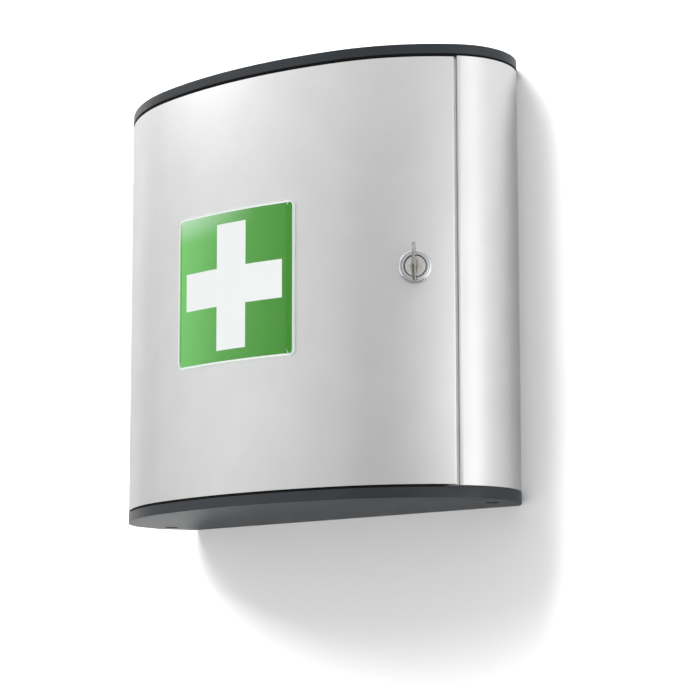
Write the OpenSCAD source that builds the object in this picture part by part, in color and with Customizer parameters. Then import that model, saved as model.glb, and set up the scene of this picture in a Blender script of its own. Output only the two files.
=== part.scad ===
// Wall-hung medicine cabinet: an oval aluminium body between two plastic caps, with a curved door
// on pivot hinges, a cam lock with its key, and two shelves inside.
// The origin is the middle of the four wall screws, on the wall. X runs along the wall, the front
// faces -Y and +Z is up. All lengths are in millimetres.
// Places along the outline are given as a run: the distance along its outer face from the middle
// of the front, positive to the right. Depths inwards from the outer face are insets.

/* [Outline] */
// Width over the side panels
body_w = 302; // [292:1:316]
// Height over the caps
body_h = 280; // [240:1:360]
// Depth from the wall to the front of the door
body_d = 110; // [106:1:122]
// Distance from the wall to the widest line of the outline
widest_y = 33.5; // [28:0.5:38]
// Radius of the end curves, which run back to the wall
end_r = 44; // [40:1:50]
// Turn of the outline, in degrees, from the middle of the front to the shoulder curves
front_turn = 14; // [12:0.5:16]
// Turn of the outline, in degrees, from the middle of the front to the end curves
shoulder_turn = 45.3; // [42:0.1:50]

/* [Panels] */
// Thickness of the door and side panels
skin_t = 1.5; // [1:0.1:1.8]
// Run of each side panel, from the wall to its front edge
panel_run = 73; // [66:0.5:76]
// Gap between the door and the right side panel
lock_gap = 1.5; // [1:0.1:2]
// Gap between the door and the left side panel
hinge_gap = 2; // [1.8:0.1:2.4]
// Inset of the outer face of the flange that the door closes on
rebate_inset = 3.7; // [3.6:0.1:4.2]
// Run of that flange behind the door
rebate_run = 6.5; // [5:0.5:8]
// Thickness of the hem along the door's lock edge
hem_t = 2.7; // [2.4:0.1:2.8]
// Run of the hem
hem_run = 4; // [3:0.5:5]
// Thickness of the back panel
back_t = 1.5; // [1:0.1:2]
// Width of the flanges that the back panel is riveted to
back_flange_w = 20; // [16:1:24]

/* [Caps] */
// Thickness of a cap at its rim
cap_h = 7; // [6:0.5:9]
// Chamfer along the outer edge of a cap
cap_edge = 0.8; // [0.4:0.1:1.2]
// Height of the ledge that the panels stand on
ledge_h = 0.4; // [0.3:0.1:0.8]
// Inset of the ledge
ledge_inset = 1; // [0.8:0.1:1.2]
// Height of the rims that locate the side panels
rim_h = 6; // [4:0.5:8]
// Thickness of those rims
rim_t = 2; // [1.5:0.1:2.5]
// Inset of the dust sill behind the door
sill_inset = 10.5; // [9.5:0.5:12]
// Height of the dust sill
sill_h = 5; // [3:0.5:7]

/* [Wall screws] */
// Distance between the wall screws, sideways
wall_pitch_x = 200; // [160:5:210]
// Distance between the wall screws, upwards
wall_pitch_z = 200; // [160:5:210]
// Radius of a wall screw hole
wall_hole_r = 2.6; // [2.1:0.1:3]

/* [Hinge] */
// Inset of the pivot
pivot_inset = 5; // [4.8:0.1:5.4]
// Run from the pivot to the hinge edge of the door
pivot_edge = 4.7; // [4.2:0.1:5]
// Radius of a hinge pin
pin_r = 1.5; // [1.2:0.1:1.6]
// Depth of a hinge pin in its cap
pin_seat = 4.5; // [3:0.5:5]
// Wall of a hinge bush
bush_wall = 0.76; // [0.6:0.02:0.8]
// Thickness of a bush flange
bush_flange_t = 0.8; // [0.6:0.1:0.9]
// Height of a door rail
rail_h = 10; // [8:0.5:14]
// Depth of a door rail, behind the door panel
rail_d = 6.4; // [5:0.1:6.8]

/* [Lock] */
// Run from the lock's axis to the lock edge of the door
lock_edge = 24.5; // [22:0.1:26]
// Height of the lock's axis above the middle
lock_z = 0.5; // [-20:0.5:20]
// Radius of the rim
lock_rim_r = 10.5; // [10:0.1:12]
// Thickness of the rim
lock_rim_t = 2.6; // [2:0.1:3.5]
// Radius of the barrel
barrel_r = 8; // [7.8:0.1:8.5]
// Length of the barrel behind the rim
barrel_l = 16; // [15:0.5:17]
// Radius of the plug
plug_r = 5.5; // [5:0.1:6]
// Radius of the plug's head
plug_head_r = 6.5; // [6.2:0.1:7]
// Thickness of the nut
nut_t = 3; // [2:0.5:4]
// Width of the nut across its flats
nut_w = 20; // [19:0.5:22]
// Length of the cam from the lock's axis
cam_l = 24; // [21:0.5:24.5]
// Width of the cam
cam_w = 9; // [8:0.5:11]
// Thickness of the cam
cam_t = 2; // [1.5:0.1:2.5]
// Width of the square that drives the cam
drive_w = 7; // [6:0.1:7.4]
// Length of the strike along the panel, upwards
strike_l = 28; // [20:1:40]
// Thickness of the strike
strike_t = 1.2; // [1:0.1:1.6]

/* [Key] */
// Thickness of the key
key_t = 1.7; // [1.2:0.1:1.9]
// Width of the blade
blade_w = 7.4; // [6:0.1:7.6]
// Length of the blade inside the plug
blade_l = 14; // [12:0.5:14.5]
// Radius of the bow
bow_r = 11.7; // [10:0.1:13]
// Length of the neck between the plug and the bow
neck_l = 2.6; // [2:0.1:5]

/* [Emblem] */
// Side of the clear tile
tile_w = 98; // [80:1:110]
// Thickness of the clear tile
tile_t = 2.8; // [1.5:0.1:4]
// Radius of the tile's corners
tile_corner = 4; // [2:0.5:8]
// Side of the green field
field_w = 95; // [70:1:96]
// Thickness of the field and the cross
film_t = 0.35; // [0.2:0.05:0.6]
// Length of the cross's arms, from end to end
cross_l = 81; // [60:1:88]
// Width of the cross's arms
cross_w = 24.3; // [16:0.1:30]
// Place of the emblem sideways
emblem_x = -5.4; // [-20:0.1:20]
// Place of the emblem upwards
emblem_z = -0.5; // [-40:0.1:40]

/* [Shelves] */
// Distance from the middle of the cabinet to each shelf
shelf_z = 45; // [36:1:60]
// Thickness of a shelf
shelf_t = 1.2; // [1:0.1:2]
// Distance of a shelf's ends from the sides of the outline
shelf_side = 44; // [43:1:50]
// Inset of a shelf's front lip
shelf_inset = 14; // [13:0.5:20]
// Height of a shelf's front lip
lip_h = 10; // [6:1:14]
// Height of a shelf's back edge
upstand_h = 14; // [12:1:20]
// Distance between the screws of a shelf
shelf_pitch = 160; // [120:5:180]

/* [Fasteners] */
// Distance from the wall to the cap screws
cap_screw_y = 27; // [25:0.5:29]
// Distance of the cap screws from the sides of the outline
cap_screw_side = 17; // [15:0.5:18]
// Radius of a cap screw's shank
cap_screw_r = 1.7; // [1.5:0.1:1.9]
// Radius of a cap screw's head
cap_screw_head_r = 3.6; // [3:0.1:4]
// Radius of the recess round that head
recess_r = 4.5; // [4.2:0.1:5]
// Depth of the recess
recess_d = 2.6; // [2.2:0.1:3.5]
// Length of a cap screw
cap_screw_l = 18; // [14:1:24]
// Wall of the screw channels
channel_wall = 2.2; // [1.6:0.1:2.5]
// Radius of the rivets and the shelf screws
rivet_r = 1.6; // [1.2:0.1:2]
// Radius of their heads
rivet_head_r = 3; // [2.6:0.1:3.5]
// Height of their heads
rivet_head_t = 1; // [0.6:0.1:1.6]

/* [Hidden] */
$fn = 96;

// Clearances
slip = 0.05;            // radial clearance of a turning fit
seat = 0.02;            // clearance of a piece that is pressed or clamped in place
part_gap = 0.15;        // clearance between neighbouring fixed pieces
door_lift = 0.6;        // clearance under and over the door
rim_room = 2;           // clearance at the ends of the rims in a cap
screw_room = 0.4;       // radial clearance of a cap screw in its cap
edge_room = 0.3;        // clearance beside the edges of the back flanges and panel
head_room = 0.25;       // radial clearance of the plug's head in the rim
bumper_room = 0.25;     // clearance between the bumpers and the closed door
strike_gap = 0.5;       // clearance between the turned cam and the strike
nut_gap = 0.6;          // clearance between the lock nut and the door panel
over = 1;               // overshoot of a cut past a face
through = 20;           // length of a cut that goes right through a wall
lap = 0.01;             // run by which neighbouring curves of the outline overlap
seam = 0.01;            // depth of the shoulder curves below their neighbours at those overlaps

// Small lengths
rail_step = 0.3;        // height of the door's edges beyond its rails
rail_stop = 12;         // run from the end of a rail to the door's lock edge
bore_end = 1;           // length of a knuckle beyond its pin and bush
sill_start = 20;        // run from the pivot to the sill
sill_stop = 32;         // run from the sill to the door's lock edge
channel_slot = 2;       // width of the slot along a screw channel
row_end = 30;           // distance of the end rivets from the ends of the back panel
screw_drop = 5;         // distance of the shelf screws below the shelf's back edge
head_taper = 0.6;       // taper of a cap screw's head
head_lift = 0.5;        // depth of a cap screw's head inside the recess
drive_slot = [4, 0.8, 1.2];     // length, width and depth of the slots of a screw's cross
bumper_z = 100;         // distance of each bumper from the middle
bumper_r = 2.2;         // radius of a bumper
strike_reach = 9;       // length of the strike's leg beside the cam
strike_rivet_r = 1.2;   // radius of a strike rivet
strike_head_r = 2.1;    // radius of its heads
strike_head_t = 0.6;    // height of its heads
strike_rivet_run = 2;   // run from the flange's free edge to the strike rivets
strike_rivet_end = 5;   // distance of those rivets from the strike's ends
rim_round = 0.9;        // rounding of the lock's rim
plug_sink = 0.6;        // depth of the plug's face, and of its seat, below and behind the rim
key_slot_room = 0.15;   // clearance of the key all round in its slot
cam_head = 6;           // length of the cam above the lock's axis
cam_ear = 1;            // width of the cam's head beside its arm
cam_screw_r = 1.6;      // radius of the cam screw
cam_screw_l = 2.5;      // length of the cam screw
cam_screw_head_r = 4.4; // radius of its head
cam_screw_head_t = 2;   // height of its head
bow_hole = 0.28;        // radius of the hole in the key's bow, against the bow's radius
key_cuts = 4;           // cuts in the blade
key_cut_pitch = 3;      // distance between those cuts
key_cut_depth = 1.1;    // depth of the shallow cuts
key_cut_step = 0.3;     // further depth of every second cut
key_cut_w = 1.2;        // half the width of a cut

// The radii of the front and shoulder curves that meet the width and the depth at those turns
end_c = [body_w / 2 - end_r, -widest_y];
across = end_c.x + end_r * sin(shoulder_turn);
forward = body_d + end_c.y - end_r * cos(shoulder_turn);
front_bend = 1 - cos(front_turn);
shoulder_bend = cos(front_turn) - cos(shoulder_turn);
shoulder_spread = sin(shoulder_turn) - sin(front_turn);
spread = sin(front_turn) * shoulder_bend - shoulder_spread * front_bend;
front_r = (across * shoulder_bend - forward * shoulder_spread) / spread;
shoulder_r = (forward * sin(front_turn) - across * front_bend) / spread;
front_c = [0, front_r - body_d];
shoulder_c = front_c + (front_r - shoulder_r) * [sin(front_turn), -cos(front_turn)];

// Turn of the outline's normal away from -Y at the wall
wall_turn = 90 + asin(widest_y / end_r);
function arc_length(r, angle) = r * angle * PI / 180;
run_1 = arc_length(front_r, front_turn);
run_2 = run_1 + arc_length(shoulder_r, shoulder_turn - front_turn);
run_3 = run_2 + arc_length(end_r, wall_turn - shoulder_turn);

// The five curves: first run, last run, centre, radius, depth below its neighbours
CURVES = [[-run_3, -run_2, [-end_c.x, end_c.y], end_r, 0],
          [-run_2, -run_1, [-shoulder_c.x, shoulder_c.y], shoulder_r, seam],
          [-run_1, run_1, front_c, front_r, 0],
          [run_1, run_2, shoulder_c, shoulder_r, seam],
          [run_2, run_3, end_c, end_r, 0]];

function turn_right(s) =
    s <= run_1 ? s / front_r * 180 / PI :
    s <= run_2 ? front_turn + (s - run_1) / shoulder_r * 180 / PI :
    shoulder_turn + (s - run_2) / end_r * 180 / PI;
function turn(s) = sign(s) * turn_right(abs(s));
function turn_on(c, s) = turn(c[0]) + (s - c[0]) / c[3] * 180 / PI;
function curve_at(s) =
    s < -run_2 ? CURVES[0] : s < -run_1 ? CURVES[1] : s <= run_1 ? CURVES[2] :
    s <= run_2 ? CURVES[3] : CURVES[4];
function spot(s, inset = 0) =
    curve_at(s)[2] + (curve_at(s)[3] - inset) * [sin(turn(s)), -cos(turn(s))];
// Half the outline's width at a distance from the wall
function half_width(inset, y = 0) =
    end_c.x + sqrt(pow(end_r - inset, 2) - pow(widest_y - y, 2));

// Runs of the edges
panel_edge = run_3 - panel_run;
lock_side = panel_edge - lock_gap;
hinge_side = -(panel_edge - hinge_gap);
pivot_run = hinge_side + pivot_edge;
lock_run = lock_side - lock_edge;
pivot = spot(pivot_run, pivot_inset);
// Run at which the outline stands at the cap screws
web_run = run_2 + arc_length(end_r, 90 - shoulder_turn + asin((widest_y - cap_screw_y) / end_r));

// Heights, from the middle
cap_in = body_h / 2 - cap_h;
panel_half = cap_in - ledge_h;
door_half = panel_half - door_lift;
rail_end = door_half - rail_step;
panel_h = 2 * panel_half;

rebate_in = rebate_inset + skin_t;
cap_screw_x = body_w / 2 - cap_screw_side;
shelf_half = body_w / 2 - shelf_side;
channel_r = cap_screw_r + slip;
bush_r = pin_r + slip + bush_wall;
knuckle_r = pivot_inset - skin_t - slip;
back_half = half_width(skin_t) - edge_room;
flange_y = back_t + skin_t;
rivet_x = back_half - back_flange_w / 2;
rivet_rows = [row_end - panel_half, 0, panel_half - row_end];
shelf_rows = [-shelf_z, shelf_z];
screw_above_shelf = upstand_h - screw_drop;
pin_l = pin_seat + ledge_h + door_lift + rail_step + rail_h - bore_end;

plug_face = lock_rim_t - plug_sink;
plug_head_l = plug_face + plug_sink;
cam_front = -barrel_l - part_gap;
drive_l = cam_t + 2 * slip;
strike_inset = rebate_in + slip;
strike_z = cam_front + strike_gap;
slot_w = key_t + 2 * key_slot_room;
slot_h = blade_w + 2 * key_slot_room;
slot_depth = blade_l + key_slot_room;

// A piece of wall that follows the outline from one run to another, standing on Z = 0
module band(first, last, inset, t, h) {
    for (c = CURVES) {
        a = max(first, c[0] - lap);
        b = min(last, c[1] + lap);
        if (b - a > 2 * lap)
            translate([c[2].x, c[2].y, 0])
                rotate_extrude(start = turn_on(c, a) - 90, angle = turn_on(c, b) - turn_on(c, a))
                    translate([c[3] - c[4] - inset - t, 0])
                        square([t, h]);
    }
}

// Turns at which the pie of a curve starts and ends: those of the end curves run on past the wall
function pie_start(c) = c[0] == -run_3 ? -180 : turn_on(c, c[0] - lap);
function pie_end(c) = c[1] == run_3 ? 180 : turn_on(c, c[1] + lap);

// A full plate in the shape of the outline, flat at the wall, with its lower outer edge chamfered
module plate(inset, h, edge = 0) {
    difference() {
        union() {
            for (c = CURVES) {
                r = c[3] - c[4] - inset;
                translate([c[2].x, c[2].y, 0])
                    rotate_extrude(start = pie_start(c) - 90, angle = pie_end(c) - pie_start(c))
                        polygon([[0, 0], [r - edge, 0], [r, edge], [r, h], [0, h]]);
            }
            linear_extrude(height = h)
                polygon(concat([[-end_c.x, over]],
                               [for (s = [-run_2, -run_1, run_1, run_2]) spot(s, inset + edge)],
                               [[end_c.x, over]]));
        }
        translate([-body_w, 0, -over])
            cube([2 * body_w, front_r, h + 2 * over]);
    }
}

// Puts its children at a place on the outline, with their Z axis pointing straight out
module at_wall(s, inset, z) {
    p = spot(s, inset);
    translate([p.x, p.y, z])
        rotate([0, 0, turn(s)])
            rotate([90, 0, 0])
                children();
}

module at_lock() {
    at_wall(lock_run, 0, lock_z) children();
}

// Puts its children at both cap screws
module at_cap_screws() {
    for (side = [-1, 1])
        translate([side * cap_screw_x, -cap_screw_y, 0])
            children();
}

// The bottom cap, with its underside on Z = 0
module cap_shape() {
    difference() {
        union() {
            plate(0, cap_h, cap_edge);
            translate([0, 0, cap_h])
                plate(ledge_inset, ledge_h);
            translate([0, 0, cap_h])
                cap_rims();
        }
        at_cap_screws() {
            translate([0, 0, -over])
                cylinder(r = recess_r, h = recess_d + over);
            cylinder(r = cap_screw_r + screw_room, h = cap_h + rim_h);
        }
        translate([pivot.x, pivot.y, cap_h - pin_seat])
            cylinder(r = pin_r + seat, h = pin_seat + ledge_h + over);
    }
}

// Rims inside the side panels and the sill behind the door
module cap_rims() {
    front = panel_edge + skin_t + rim_room;
    back = run_3 - 3 * rim_room;
    for (r = [[front, web_run - rim_room], [web_run + rim_room, back],
              [rim_room - web_run, -front - rim_room], [-back, -rim_room - web_run]])
        band(r[0], r[1], skin_t + part_gap, rim_t, rim_h);
    band(pivot_run + sill_start, lock_side - sill_stop, sill_inset, rim_t, sill_h);
}

module bottom_cap() {
    color("darkslategray")
        translate([0, 0, -body_h / 2])
            cap_shape();
}

module top_cap() {
    color("darkslategray")
        mirror([0, 0, 1])
            translate([0, 0, -body_h / 2])
                cap_shape();
}

// Outer wall, back flange and screw channel that both side panels have, on the right
module side_profile() {
    band(panel_edge, run_3, 0, skin_t, panel_h);
    translate([back_half - back_flange_w, -flange_y, 0])
        cube([half_width(0, back_t) - edge_room - back_half + back_flange_w, skin_t, panel_h]);
    difference() {
        union() {
            translate([cap_screw_x, -cap_screw_y, 0])
                cylinder(r = channel_r + channel_wall, h = panel_h);
            translate([cap_screw_x, -cap_screw_y - skin_t / 2, 0])
                cube([spot(web_run).x - skin_t / 2 - cap_screw_x, skin_t, panel_h]);
        }
        translate([cap_screw_x, -cap_screw_y, -over])
            cylinder(r = channel_r, h = panel_h + 2 * over);
        translate([cap_screw_x - channel_r - channel_wall - over, -cap_screw_y - channel_slot / 2, -over])
            cube([channel_r + channel_wall + over, channel_slot, panel_h + 2 * over]);
    }
}

module side_panel_right() {
    color("silver")
        translate([0, 0, -panel_half])
            difference() {
                union() {
                    side_profile();
                    band(panel_edge, panel_edge + skin_t, 0, rebate_in, panel_h);
                    band(panel_edge - rebate_run, panel_edge + skin_t, rebate_inset, skin_t, panel_h);
                }
                rivet_holes(1);
                translate([0, 0, panel_half])
                    at_strike_rivets()
                        cylinder(r = strike_rivet_r + seat, h = through, center = true);
            }
}

module side_panel_left() {
    color("silver")
        translate([0, 0, -panel_half])
            difference() {
                mirror([1, 0, 0])
                    side_profile();
                rivet_holes(-1);
            }
}

// Holes for one column of rivets, for a panel that stands on Z = 0
module rivet_holes(side) {
    for (z = rivet_rows)
        translate([side * rivet_x, over, z + panel_half])
            rotate([90, 0, 0])
                cylinder(r = rivet_r + seat, h = flange_y + 2 * over);
}

module back_panel() {
    color("whitesmoke")
        difference() {
            translate([-back_half, -back_t, -panel_half])
                cube([2 * back_half, back_t, panel_h]);
            for (x = [-1, 1], z = [-1, 1])
                translate([x * wall_pitch_x / 2, over, z * wall_pitch_z / 2])
                    rotate([90, 0, 0])
                        cylinder(r = wall_hole_r, h = back_t + 2 * over);
            translate([0, 0, -panel_half]) {
                rivet_holes(1);
                rivet_holes(-1);
            }
            for (x = [-1, 1], z = shelf_rows)
                translate([x * shelf_pitch / 2, over, z + screw_above_shelf])
                    rotate([90, 0, 0])
                        cylinder(r = rivet_r + seat, h = back_t + 2 * over);
        }
}

// A domed head with a shank behind it, lying along Y with the head's seat at the given depth
module rivet(depth) {
    translate([0, -depth, 0])
        rotate([90, 0, 0])
            rotate_extrude()
                polygon([[0, part_gap - depth], [rivet_r, part_gap - depth], [rivet_r, seat],
                         [rivet_head_r, seat], [rivet_head_r, rivet_head_t / 2],
                         [rivet_head_r / 2, rivet_head_t], [0, rivet_head_t]]);
}

module back_rivets() {
    color("gray")
        for (x = [-rivet_x, rivet_x], z = rivet_rows)
            translate([x, 0, z])
                rivet(flange_y);
}

// A pan-headed screw that points up, with the seat of its head on Z = 0 and a cross in the head
module cap_screw() {
    head_t = recess_d - head_lift;
    difference() {
        union() {
            translate([0, 0, -seat - head_t])
                cylinder(r1 = cap_screw_head_r - head_taper, r2 = cap_screw_head_r, h = head_t);
            translate([0, 0, -head_t])
                cylinder(r = cap_screw_r, h = head_t + cap_screw_l);
        }
        for (turned = [0, 90])
            rotate([0, 0, turned])
                translate([-drive_slot.x / 2, -drive_slot.y / 2, -seat - head_t - over])
                    cube([drive_slot.x, drive_slot.y, drive_slot.z + over]);
    }
}

module cap_screws_bottom() {
    color("dimgray")
        at_cap_screws()
            translate([0, 0, recess_d - body_h / 2])
                cap_screw();
}

module cap_screws_top() {
    color("dimgray")
        mirror([0, 0, 1])
            at_cap_screws()
                translate([0, 0, recess_d - body_h / 2])
                    cap_screw();
}

module hinge_pin_bottom() {
    color("lightgray")
        translate([pivot.x, pivot.y, -cap_in - pin_seat + seat])
            cylinder(r = pin_r, h = pin_l);
}

module hinge_pin_top() {
    color("lightgray")
        mirror([0, 0, 1])
            translate([pivot.x, pivot.y, -cap_in - pin_seat + seat])
                cylinder(r = pin_r, h = pin_l);
}

// A flanged bush, standing on its flange
module bush_shape() {
    difference() {
        union() {
            cylinder(r = knuckle_r - part_gap, h = bush_flange_t);
            cylinder(r = bush_r, h = bush_flange_t + rail_h - bore_end);
        }
        translate([0, 0, -over])
            cylinder(r = pin_r + slip, h = rail_h + bush_flange_t + 2 * over);
    }
}

module hinge_bush_bottom() {
    color("ivory")
        translate([pivot.x, pivot.y, -rail_end - bush_flange_t])
            bush_shape();
}

module hinge_bush_top() {
    color("ivory")
        mirror([0, 0, 1])
            translate([pivot.x, pivot.y, -rail_end - bush_flange_t])
                bush_shape();
}

// Puts its children at the two rivets of the strike, pointing out through the rebate flange
module at_strike_rivets() {
    for (z = [-1, 1])
        at_wall(panel_edge - rebate_run + strike_rivet_run, rebate_in,
                lock_z + z * (strike_l / 2 - strike_rivet_end))
            children();
}

// The strike: a foot on the rebate flange and a leg that stands in front of the turned cam
module strike_plate() {
    foot_end = spot(panel_edge, strike_inset + strike_t);
    color("lightgray")
        difference() {
            union() {
                translate([0, 0, lock_z - strike_l / 2])
                    band(panel_edge - rebate_run, panel_edge + skin_t, strike_inset, strike_t, strike_l);
                at_lock()
                    strike_leg(lock_x(foot_end), lock_depth(foot_end));
            }
            at_strike_rivets()
                cylinder(r = strike_rivet_r + seat, h = through, center = true);
        }
}

// Where a point of the plan lies beside and out from the lock's axis
function lock_x(p) = (p - spot(lock_run)) * [cos(turn(lock_run)), sin(turn(lock_run))];
function lock_depth(p) = (p - spot(lock_run)) * [sin(turn(lock_run)), -cos(turn(lock_run))];

module strike_leg(x, depth) {
    translate([x - strike_t / 2, -strike_l / 2, strike_z])
        cube([strike_t, strike_l, depth - strike_z + strike_t / 2]);
    translate([x - strike_reach, -strike_l / 2, strike_z])
        cube([strike_reach, strike_l, strike_t]);
}

module strike_rivets() {
    back = -strike_t - slip - seat;
    front = skin_t + seat;
    color("gray")
        at_strike_rivets()
            rotate_extrude()
                polygon([[0, back - strike_head_t], [strike_rivet_r, back - strike_head_t],
                         [strike_head_r, back], [strike_rivet_r, back], [strike_rivet_r, front],
                         [strike_head_r, front], [strike_rivet_r, front + strike_head_t],
                         [0, front + strike_head_t]]);
}

module door_bumpers() {
    color("dimgray")
        for (z = [-bumper_z, bumper_z])
            at_wall(panel_edge - rebate_run / 2, rebate_inset - seat, z)
                cylinder(r = bumper_r, h = rebate_inset - hem_t - bumper_room);
}

module shelf_shape() {
    intersection() {
        plate(shelf_inset, shelf_t);
        translate([-shelf_half, -body_d, 0])
            cube([2 * shelf_half, body_d - widest_y + over, shelf_t]);
    }
    translate([-shelf_half, -widest_y, 0])
        cube([2 * shelf_half, widest_y - back_t - seat, shelf_t]);
    lip_turn = asin((shelf_half - shoulder_c.x) / (shoulder_r - shelf_inset));
    lip_end = run_1 + arc_length(shoulder_r, lip_turn - front_turn) - shelf_t;
    band(-lip_end, lip_end, shelf_inset, shelf_t, lip_h);
    difference() {
        translate([-shelf_half, -back_t - seat - shelf_t, 0])
            cube([2 * shelf_half, shelf_t, upstand_h]);
        for (x = [-1, 1])
            translate([x * shelf_pitch / 2, 0, screw_above_shelf])
                rotate([90, 0, 0])
                    cylinder(r = rivet_r + seat, h = through);
    }
}

module shelf_upper() {
    color("white")
        translate([0, 0, shelf_z])
            shelf_shape();
}

module shelf_lower() {
    color("white")
        translate([0, 0, -shelf_z])
            shelf_shape();
}

module shelf_screws() {
    color("gray")
        for (x = [-1, 1], z = shelf_rows)
            translate([x * shelf_pitch / 2, 0, z + screw_above_shelf])
                rivet(back_t + seat + shelf_t);
}

module door_panel() {
    color("silver")
        difference() {
            translate([0, 0, -door_half]) {
                band(hinge_side, lock_side, 0, skin_t, 2 * door_half);
                band(lock_side - hem_run, lock_side, 0, hem_t, 2 * door_half);
            }
            at_lock()
                cylinder(r = barrel_r + part_gap, h = through, center = true);
        }
}

// A rail inside the bottom edge of the door, with the knuckle for the hinge bush, on Z = 0
module rail_shape() {
    difference() {
        union() {
            band(pivot_run, lock_side - rail_stop, skin_t + slip, rail_d, rail_h);
            translate([pivot.x, pivot.y, 0])
                cylinder(r = knuckle_r, h = rail_h);
        }
        translate([pivot.x, pivot.y, -over])
            cylinder(r = bush_r + seat, h = rail_h + 2 * over);
    }
}

module door_rail_bottom() {
    color("darkslategray")
        translate([0, 0, -rail_end])
            rail_shape();
}

module door_rail_top() {
    color("darkslategray")
        mirror([0, 0, 1])
            translate([0, 0, -rail_end])
                rail_shape();
}

module lock_housing() {
    bore = plug_r + slip;
    head_bore = plug_head_r + head_room;
    head_seat = plug_face - plug_head_l - slip;
    color("gainsboro")
        at_lock()
            rotate_extrude()
                polygon([[bore, -barrel_l], [barrel_r, -barrel_l], [barrel_r, slip],
                         [lock_rim_r, slip], [lock_rim_r, lock_rim_t - rim_round],
                         [lock_rim_r - rim_round / 3, lock_rim_t - rim_round / 3],
                         [lock_rim_r - rim_round, lock_rim_t],
                         [head_bore + rim_round, lock_rim_t], [head_bore, lock_rim_t - rim_round],
                         [head_bore, head_seat], [bore, head_seat]]);
}

module lock_nut() {
    front = skin_t + nut_gap;
    color("lightgray")
        at_lock()
            translate([0, 0, -front - nut_t])
                difference() {
                    cylinder(r = nut_w / 2 / cos(30), h = nut_t, $fn = 6);
                    translate([0, 0, -over])
                        cylinder(r = barrel_r + seat, h = nut_t + 2 * over);
                }
}

module lock_plug() {
    color("lightgray")
        at_lock()
            difference() {
                union() {
                    translate([0, 0, plug_face - plug_head_l])
                        cylinder(r = plug_head_r, h = plug_head_l);
                    translate([0, 0, cam_front])
                        cylinder(r = plug_r, h = -cam_front);
                    translate([-drive_w / 2, -drive_w / 2, cam_front - drive_l])
                        cube([drive_w, drive_w, drive_l + over]);
                }
                translate([-slot_w / 2, -slot_h / 2, plug_face - plug_head_l - slot_depth])
                    cube([slot_w, slot_h, slot_depth + plug_head_l + over]);
                translate([0, 0, cam_front - drive_l - over])
                    cylinder(r = cam_screw_r, h = over + cam_screw_l + part_gap);
            }
}

// The cam hangs down in the open position
module lock_cam() {
    tip = cam_w / 3;
    half = cam_w / 2;
    head = half + cam_ear;
    corner = cam_head - 2 * cam_ear;
    color("gray")
        at_lock()
            translate([0, 0, cam_front - cam_t])
                linear_extrude(height = cam_t)
                    difference() {
                        polygon([[-head, corner], [2 * cam_ear - head, cam_head],
                                 [head - 2 * cam_ear, cam_head], [head, corner],
                                 [head, cam_ear - cam_head], [half, -cam_ear - cam_head],
                                 [half, tip - cam_l], [tip / 2, -cam_l], [-tip / 2, -cam_l],
                                 [-half, tip - cam_l], [-half, -cam_ear - cam_head],
                                 [-head, cam_ear - cam_head]]);
                        square(drive_w + 2 * seat, center = true);
                    }
}

module cam_screw() {
    back = cam_front - drive_l - seat;
    top = back - cam_screw_head_t;
    shank_r = cam_screw_r - seat;
    color("dimgray")
        at_lock()
            rotate_extrude()
                polygon([[0, top], [cam_screw_head_r - head_taper, top],
                         [cam_screw_head_r, top + head_taper], [cam_screw_head_r, back],
                         [shank_r, back], [shank_r, back + cam_screw_l], [0, back + cam_screw_l]]);
}

module key() {
    tip = plug_face - plug_head_l - blade_l;
    bow_z = plug_face + neck_l + bow_r;
    chamfer = key_cut_w + key_cut_step;
    color("silver")
        at_lock()
            rotate([0, -90, 0])
                translate([0, 0, -key_t / 2])
                    linear_extrude(height = key_t)
                        difference() {
                            union() {
                                translate([tip, -blade_w / 2])
                                    square([bow_z - tip, blade_w]);
                                translate([bow_z, 0])
                                    circle(r = bow_r);
                            }
                            translate([bow_z + bow_r / 2, 0])
                                circle(r = bow_r * bow_hole);
                            for (i = [1 : key_cuts])
                                translate([tip + i * key_cut_pitch, blade_w / 2])
                                    polygon([[-key_cut_w, 0], [-key_cut_w, over], [key_cut_w, over],
                                             [key_cut_w, 0],
                                             [0, -key_cut_depth - key_cut_step * (i % 2)]]);
                            for (side = [-1, 1])
                                translate([tip, side * blade_w / 2])
                                    circle(r = chamfer, $fn = 4);
                        }
}

// Corner points of a square with round corners
function rounded(w, r) =
    [for (q = [0 : 3], k = [0 : 6])
        (w / 2 - r) * [q == 0 || q == 3 ? 1 : -1, q < 2 ? 1 : -1]
            + r * [cos(q * 90 + k * 15), sin(q * 90 + k * 15)]];
function cross_points(l, w) =
    [[w, l], [w, w], [l, w], [l, -w], [w, -w], [w, -l], [-w, -l], [-w, -w], [-l, -w], [-l, w],
     [-w, w], [-w, l]] / 2;

// A layer on the front of the door in the given outline, from one height above it to another
module emblem_layer(points, low, high) {
    intersection() {
        translate([0, 0, emblem_z - tile_w])
            band(-tile_w, tile_w, -high, high - low, 2 * tile_w);
        translate([emblem_x, over, emblem_z])
            rotate([90, 0, 0])
                linear_extrude(height = body_d + tile_w)
                    polygon(points);
    }
}

module emblem_tile() {
    color("lightcyan", 0.4)
        emblem_layer(rounded(tile_w, tile_corner), film_t + 2 * seat, film_t + tile_t);
}

module emblem_field() {
    color("mediumseagreen")
        difference() {
            emblem_layer(rounded(field_w, tile_corner / 2), seat, seat + film_t);
            emblem_layer(cross_points(cross_l, cross_w), -over, seat + film_t + over);
        }
}

module emblem_cross() {
    color("white")
        emblem_layer(cross_points(cross_l, cross_w), seat, seat + film_t);
}

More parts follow.
